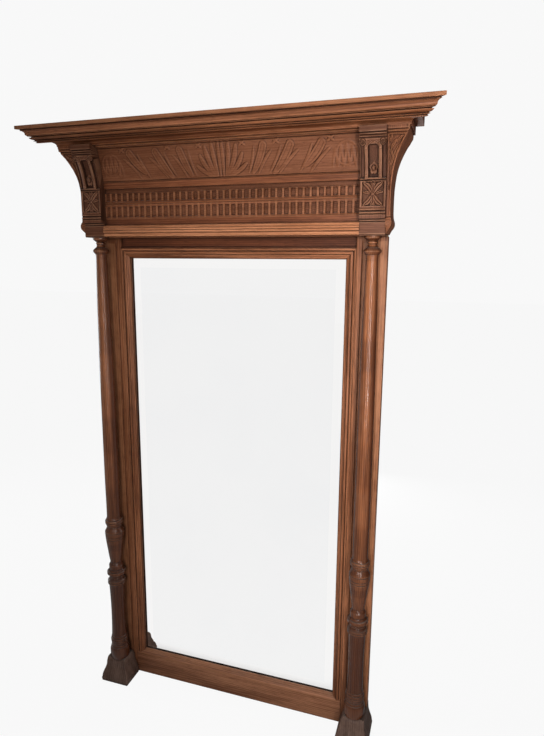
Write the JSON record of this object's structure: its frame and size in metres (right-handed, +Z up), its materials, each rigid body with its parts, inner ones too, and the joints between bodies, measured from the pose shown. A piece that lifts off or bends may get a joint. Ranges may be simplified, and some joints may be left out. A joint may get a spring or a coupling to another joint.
{
  "type": "pier mirror",
  "caption": "Tall oak pier mirror: bevelled plate in a jointed frame, turned columns on flared feet, carved brackets and frieze under a deep cornice.",
  "frame": {"origin": "middle of the floor footprint, halfway between the wall plane and the cornice's front edge", "axes": "+Z up, +X to the right of someone facing the mirror, -Y towards that person, +Y into the wall"},
  "size_m": [1.2792, 0.228, 2.0026],
  "materials": {
    "oak": "waxed dark oak, satin, worn lighter on the edges",
    "carved_oak": "carved waxed oak, darker in the hollows",
    "dark_oak": "dark waxed oak",
    "raw_pine": "unfinished softwood, sawn",
    "silvered_plate": "bevelled silvered glass",
    "steel": "dull steel",
    "brass": "dull brass"
  },
  "bodies": {
    "root": {"mirror_plate": "silvered_plate", "backboard_1": "raw_pine", "backboard_2": "raw_pine", "backboard_3": "raw_pine", "inner_moulding_left": "oak", "inner_moulding_right": "oak", "inner_moulding_top": "oak", "bottom_rail": "oak", "top_rail": "dark_oak", "stile_left": "oak", "column_left": "oak", "foot_left": "dark_oak", "console_block_left": "oak", "console_bracket_left": "carved_oak", "console_cap_left": "oak", "console_rosette_left": "carved_oak", "corner_post_left": "raw_pine", "side_bracket_left": "carved_oak", "locating_peg_left": "raw_pine", "wall_plate_left": "steel", "wall_plate_screw_left": "brass", "stile_right": "oak", "column_right": "oak", "foot_right": "dark_oak", "console_block_right": "oak", "console_bracket_right": "carved_oak", "console_cap_right": "oak", "console_rosette_right": "carved_oak", "corner_post_right": "raw_pine", "side_bracket_right": "carved_oak", "locating_peg_right": "raw_pine", "wall_plate_right": "steel", "wall_plate_screw_right": "brass", "frieze_ledge": "oak", "frieze_plain_band": "oak", "fluted_band_lower": "carved_oak", "frieze_bead": "carved_oak", "fluted_band_upper": "carved_oak", "frieze_fillet_rail": "oak", "carved_panel": "carved_oak", "frieze_top_fillet": "oak", "entablature_back_board": "raw_pine", "entablature_bottom_board": "oak", "entablature_front_board": "raw_pine", "cornice_bearing_board": "dark_oak", "glue_block_1": "raw_pine", "glue_block_2": "raw_pine", "glue_block_3": "raw_pine", "corona_front": "oak", "crown_front": "oak", "cornice_dust_board": "dark_oak", "cornice_side_board_left": "dark_oak", "cornice_side_board_right": "dark_oak"}
  },
  "joints": []
}
